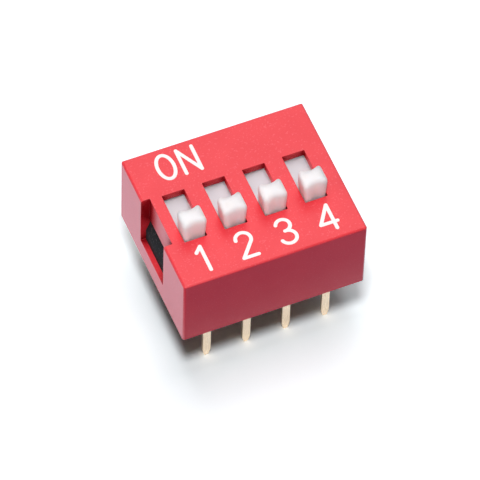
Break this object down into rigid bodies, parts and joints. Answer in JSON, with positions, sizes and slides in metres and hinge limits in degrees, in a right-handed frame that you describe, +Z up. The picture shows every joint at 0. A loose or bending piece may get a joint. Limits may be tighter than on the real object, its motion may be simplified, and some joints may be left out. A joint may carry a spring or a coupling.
{
  "type": "dip switch",
  "caption": "Slide dip switch: slotted cover clipped over a moulded base, white slider knobs in a row, spring wipers inside and flat gold pins in two rows for a circuit board.",
  "frame": {"origin": "centre of the pin grid on the seating plane, where the cover's rim meets the board", "axes": "+X along the row of switches to the last one, +Y to the side on which a knob is on, +Z up away from the board"},
  "size_m": [0.0116, 0.0098, 0.0108],
  "materials": {
    "cover_red": "moulded thermoplastic, satin",
    "base_black": "moulded thermoplastic, matte",
    "slider_white": "moulded acetal, satin",
    "terminal_gold": "thin gold plate on stamped brass",
    "wiper_gold": "gold plate on spring bronze",
    "print_white": "pad-printed ink"
  },
  "bodies": {
    "housing": {"cover": "cover_red", "base": "base_black", "terminal_1": "terminal_gold", "terminal_2": "terminal_gold", "terminal_3": "terminal_gold", "terminal_4": "terminal_gold", "terminal_5": "terminal_gold", "terminal_6": "terminal_gold", "terminal_7": "terminal_gold", "terminal_8": "terminal_gold"},
    "switch_1": {"slider_1": "slider_white", "wiper_1": "wiper_gold"},
    "switch_2": {"slider_2": "slider_white", "wiper_2": "wiper_gold"},
    "switch_3": {"slider_3": "slider_white", "wiper_3": "wiper_gold"},
    "switch_4": {"slider_4": "slider_white", "wiper_4": "wiper_gold"}
  },
  "joints": [
    {"name": "switch_1_slide", "type": "slide", "parent": "housing", "child": "switch_1", "axis": [0, 1, 0], "range_m": [0, 0.0022]},
    {"name": "switch_2_slide", "type": "slide", "parent": "housing", "child": "switch_2", "axis": [0, 1, 0], "range_m": [0, 0.0022]},
    {"name": "switch_3_slide", "type": "slide", "parent": "housing", "child": "switch_3", "axis": [0, 1, 0], "range_m": [0, 0.0022]},
    {"name": "switch_4_slide", "type": "slide", "parent": "housing", "child": "switch_4", "axis": [0, 1, 0], "range_m": [0, 0.0022]}
  ]
}
